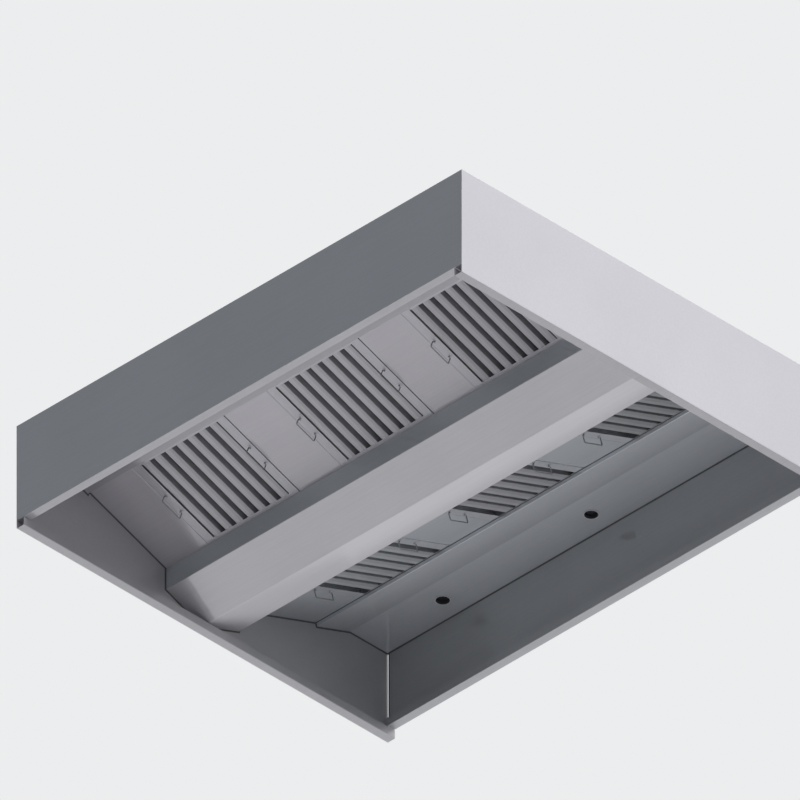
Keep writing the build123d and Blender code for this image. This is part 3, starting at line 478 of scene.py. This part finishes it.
def piece(name, verts, faces, finish, smooth=True, body="root"):
    """A new piece of the hood, which moves with one of its bodies."""
    mesh = bpy.data.meshes.new(name)
    mesh.from_pydata(verts, [], faces)
    shaped = bmesh.new()
    shaped.from_mesh(mesh)
    bmesh.ops.recalc_face_normals(shaped, faces=shaped.faces)
    shaped.to_mesh(mesh)
    shaped.free()
    mesh.materials.append(finish)
    for polygon in mesh.polygons:
        polygon.use_smooth = smooth
    made = bpy.data.objects.new(name, mesh)
    bpy.context.scene.collection.objects.link(made)
    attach(made, body)


def skin(sections, sides):
    """The faces along a run of closed sections, and those of its two ends."""
    faces = []
    for i in range(sections - 1):
        for j in range(sides):
            k = (j + 1) % sides
            faces.append((i * sides + j, i * sides + k, (i + 1) * sides + k, (i + 1) * sides + j))
    faces.append(tuple(range(sides)))
    faces.append(tuple(range((sections - 1) * sides, sections * sides)))
    return faces


# The canopy's section, the same for both banks: each climbs from the trough's upstand to a
# lip, where the ceiling starts. A point is a distance from the middle and a height over the rim.
CEILING_RISE = 0.415
SLOPE_END = 0.7958
LIP_BOTTOM = Vector((0.6178, 0.3502))
LIP_TOP = Vector((0.6118, 0.3667))
TROUGH_HALF = 0.1965
UPSTAND_TOP = 0.2155
UPSTAND_FOOT = 0.116
TROUGH_BOTTOM = 0.042
GUTTER_DEPTH = 0.038
gutter_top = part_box("front_skirt_panel")[0].z - rim + GUTTER_DEPTH
half_section = (
    Vector((inner_y, CEILING_RISE)),
    Vector((SLOPE_END, CEILING_RISE)),
    LIP_BOTTOM,
    LIP_TOP,
    Vector((TROUGH_HALF, UPSTAND_TOP)),
    Vector((TROUGH_HALF, UPSTAND_FOOT)),
)


# Sealant, dark grey and also painted shade in the corners: a bead's leg on the wall, its leg on the sheet
# that meets the wall, and where the middle of its hollow side lies, in shares of the legs
WALL_LEG = 0.0065
SHEET_LEG = 0.0025
BEAD_MIDDLE = 0.35


def mitres(points):
    """The steps that take each point of a flat line one unit to its right, with mitred corners."""
    steps = []
    for i, point in enumerate(points):
        before = points[max(i - 1, 0)]
        after = points[min(i + 1, len(points) - 1)]
        runs = [run for run in (point - before, after - point) if run.length > 0]
        rights = [Vector((run.y, -run.x)).normalized() for run in runs]
        total = rights[0] + rights[-1]
        steps.append(total * (2 / total.dot(total)))
    return steps


def bead(name, points, place, wall_leg=WALL_LEG, sheet_leg=SHEET_LEG):
    """A bead of dark sealant, also painted shade, in the corner between a wall and the sheets that meet it
    along a line.

    The points lie on the wall, and place turns a point of the wall and a distance from it
    into the frame. The bead's section is a triangle with its long side hollow.
    """
    section = [(0, 0), (1, 0), (BEAD_MIDDLE, BEAD_MIDDLE), (0, 1)]
    verts = [
        place(point + mitre * (wall_leg * along), off_wall * sheet_leg)
        for point, mitre in zip(points, mitres(points))
        for off_wall, along in section
    ]
    piece(name, verts, skin(len(points), len(section)), sealant_and_shade, smooth=False)


def end_wall(end):
    """Places on the inside of an end panel: points run to the rear and up from the rim."""
    return lambda point, off: Vector((end * (inner_x - off), point.x, rim + point.y))


def side_wall(side):
    """Places on the inside of a skirt panel: points run to the right and up from the rim."""
    return lambda point, off: Vector((point.x, side * (inner_y - off), rim + point.y))


def lip_face(side):
    """Places on a bank's lip: points run to the right and up the lip from its top."""
    down_lip = (LIP_BOTTOM - LIP_TOP).normalized()
    off_lip = Vector((down_lip.y, -down_lip.x))

    def place(point, off):
        spot = LIP_TOP - down_lip * point.y + off_lip * off
        return Vector((point.x, side * spot.x, rim + spot.y))

    return place


def wall_beads():
    """Beads where the ceilings, banks and trough meet the walls, and where walls meet: dark sealant that
    also paints the shade of these inside corners.
    """
    ends = {"left": -1, "right": 1}
    sides = {"front": -1, "rear": 1}
    section = [Vector((-point.x, point.y)) for point in half_section]
    section.append(Vector((0, TROUGH_BOTTOM)))
    section += reversed(half_section)
    corners = {
        "front": [Vector((-inner_y, gutter_top)), Vector((-inner_y, CEILING_RISE))],
        "rear": [Vector((inner_y, CEILING_RISE)), Vector((inner_y, gutter_top))],
    }
    for hand, end in ends.items():
        bead(f"sealant_{hand}_end", section, end_wall(end))
        for side, line in corners.items():
            if (hand, side) != ("left", "rear"):
                bead(f"sealant_{hand}_{side}_corner", line, end_wall(end))
    for side, way in sides.items():
        line = [Vector((-inner_x, CEILING_RISE)), Vector((inner_x, CEILING_RISE))]
        bead(f"sealant_{side}_ceiling", line, side_wall(way))


# Beads that narrow the slit at the left rear corner: the slit's width and its margin above
# and below, how far past the slit the wall's bead starts, and the corner bead's leg
SLIT = 0.009
SLIT_MARGIN = 0.004
PAST_SLIT = 0.002
CORNER_LEG = 0.0015


def slit_beads():
    low = gutter_top + SLIT_MARGIN
    high = CEILING_RISE - SLIT_MARGIN
    past_slit = -inner_x + SLIT + PAST_SLIT
    bead("sealant_slit_wall", [Vector((past_slit, high)), Vector((past_slit, low))], side_wall(1))
    corner = [Vector((-inner_x, low)), Vector((-inner_x, high))]
    bead("sealant_slit_corner", corner, side_wall(1), wall_leg=CORNER_LEG)


# Sealant along the top of the lip of each bank: a dark line that paints the shadow where the bank meets the
# lip
LIP_WALL_LEG = 0.0035
LIP_SHEET_LEG = 0.0010


def lip_beads():
    line = [Vector((-inner_x, 0)), Vector((inner_x, 0))]
    for side, way in (("front", -1), ("rear", 1)):
        bead(f"sealant_{side}_lip", line, lip_face(way), LIP_WALL_LEG, LIP_SHEET_LEG)


# A wider border at the trough end of the front filters' windows: the bank's slope, the frame's
# own border, half the window's width, and the strip's width, thickness and nose
BANK_ANGLE = math.radians(20)
WINDOW_BORDER = 0.028
WINDOW_HALF = 0.205
BORDER_WIDTH = 0.014
BORDER_SHEET = 0.0008
BORDER_NOSE = 0.0005


def window_border(number):
    filter_frame = nodes[f"filter_frame_front_{number}"]
    corners = [vertex.co for vertex in filter_frame.data.vertices]
    down_bank = Vector((0, math.cos(BANK_ANGLE), -math.sin(BANK_ANGLE)))
    into_room = Vector((0, -math.sin(BANK_ANGLE), -math.cos(BANK_ANGLE)))
    middle = middle_x(filter_frame)
    end = max(corner.dot(down_bank) for corner in corners) - WINDOW_BORDER

    # The strip is level with the frame's face, found between the lugs, which stand off it
    level = max(corner.dot(into_room) for corner in corners if abs(corner.x - middle) < WINDOW_HALF)
    near = end - BORDER_WIDTH
    low = level - BORDER_SHEET
    nose = ((near + BORDER_NOSE, level), (near, level - BORDER_NOSE))
    section = ((end, low), (end, level), *nose, (near, low))
    verts = [
        Vector((middle + hand * WINDOW_HALF, 0, 0)) + down_bank * along + into_room * off
        for hand in (-1, 1)
        for along, off in section
    ]
    faces = skin(2, len(section))
    finish = filter_frame.data.materials[0]
    body = f"filter_front_{number}"
    piece(f"window_border_{number}", verts, faces, finish, smooth=False, body=body)


def islands(node):
    """The lowest and highest corners of each separate solid of a node."""
    mesh = nodes[node].data
    group = list(range(len(mesh.vertices)))

    def root(i):
        while group[i] != i:
            group[i] = group[group[i]]
            i = group[i]
        return i

    seen = {}
    for vertex in mesh.vertices:
        place = tuple(round(c, 6) for c in vertex.co)
        group[root(vertex.index)] = root(seen.setdefault(place, vertex.index))
    for edge in mesh.edges:
        group[root(edge.vertices[0])] = root(edge.vertices[1])
    corners = {}
    for vertex in mesh.vertices:
        low, high = corners.setdefault(root(vertex.index), (vertex.co.copy(), vertex.co.copy()))
        for axis in range(3):
            low[axis] = min(low[axis], vertex.co[axis])
            high[axis] = max(high[axis], vertex.co[axis])
    return list(corners.values())


# Domed rivet heads over the plain ones: radius and height over the flanges, up the side, over
# the dome and into the hollow that the mandrel leaves
DOME = (
    (0.0040, 0.0),
    (0.0040, 0.0002),
    (0.0034, 0.0008),
    (0.0024, 0.0013),
    (0.0011, 0.0016),
    (0.0010, 0.0010),
)
DOME_SIDES = 20


def rivet_heads():
    verts, faces = [], []
    for low, high in islands("roof_rivets"):
        first = len(verts)
        for radius, height in DOME:
            for i in range(DOME_SIDES):
                angle = math.tau * i / DOME_SIDES
                x = (low.x + high.x) / 2 + radius * math.cos(angle)
                y = (low.y + high.y) / 2 + radius * math.sin(angle)
                verts.append(Vector((x, y, top + height)))
        faces += [tuple(first + corner for corner in face) for face in skin(len(DOME), DOME_SIDES)]
    piece("rivet_heads", verts, faces, finishes["rivet_aluminium"])


camera()
world()
floor()
dress_nodes()
wall_beads()
slit_beads()
lip_beads()
for number in (1, 2, 3):
    window_border(number)
rivet_heads()

bpy.context.scene.view_settings.view_transform = "Standard"
